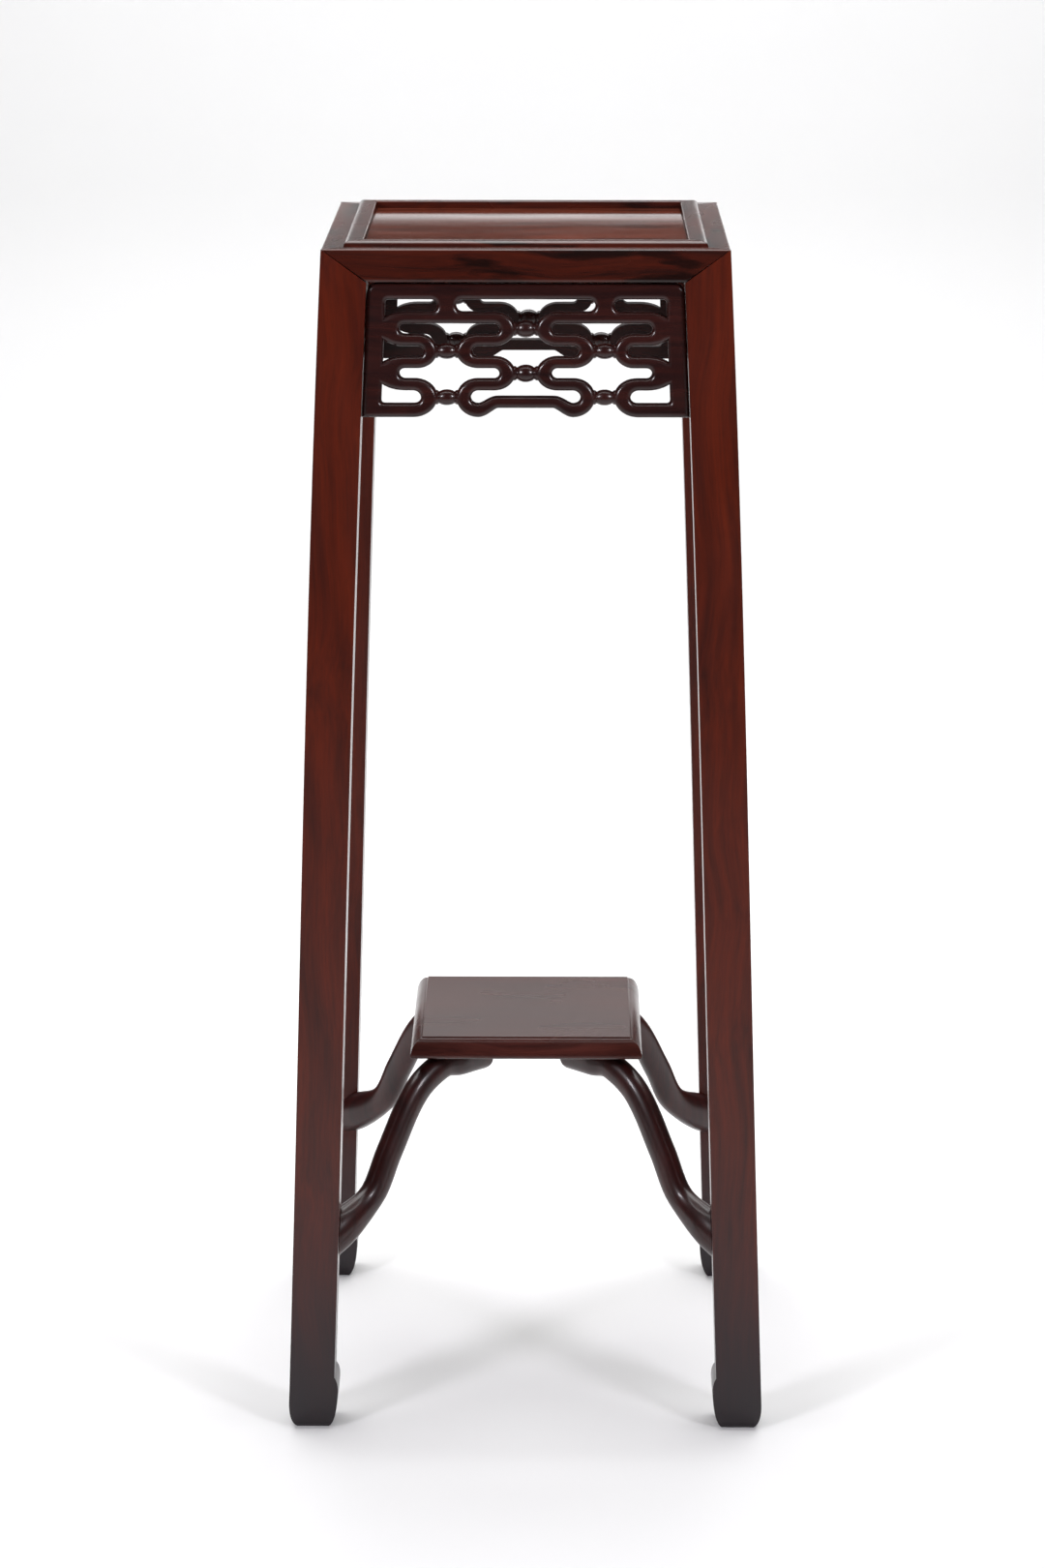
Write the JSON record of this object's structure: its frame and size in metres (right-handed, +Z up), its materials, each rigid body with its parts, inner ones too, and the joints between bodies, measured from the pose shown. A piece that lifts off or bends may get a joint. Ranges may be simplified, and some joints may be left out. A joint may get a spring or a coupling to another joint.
{
  "type": "incense stand",
  "caption": "Tall square hardwood incense stand with flared legs, framed top, openwork aprons and a small lower shelf on S-curved stretchers.",
  "frame": {"origin": "on the floor under the middle of the top", "axes": "+Z up, front towards -Y, +X to the right as seen from the front"},
  "size_m": [0.3654, 0.3654, 0.914],
  "materials": {
    "leg_wood": "hardwood, red-brown going darker to the feet, satin wax and lacquer",
    "rail_wood": "hardwood with dark figure, satin wax and lacquer",
    "panel_wood": "hardwood panel, brown with a dark streak, satin gloss",
    "apron_wood": "carved hardwood, dark aubergine brown, satin gloss",
    "stretcher_wood": "hardwood, very dark red-brown, semi gloss",
    "shelf_wood": "hardwood board, fine straight grain, satin",
    "hidden_wood": "planed hardwood, unpolished"
  },
  "bodies": {
    "root": {"leg_front_right": "leg_wood", "leg_back_right": "leg_wood", "leg_back_left": "leg_wood", "leg_front_left": "leg_wood", "rail_front": "rail_wood", "rail_right": "rail_wood", "rail_back": "rail_wood", "rail_left": "rail_wood", "top_panel": "panel_wood", "panel_batten": "hidden_wood", "apron_front": "apron_wood", "apron_right": "apron_wood", "apron_back": "apron_wood", "apron_left": "apron_wood", "stretcher_front_right": "stretcher_wood", "stretcher_back_right": "stretcher_wood", "stretcher_back_left": "stretcher_wood", "stretcher_front_left": "stretcher_wood", "shelf": "shelf_wood", "shelf_dowel_front_right": "hidden_wood", "shelf_dowel_back_right": "hidden_wood", "shelf_dowel_back_left": "hidden_wood", "shelf_dowel_front_left": "hidden_wood"}
  },
  "joints": []
}
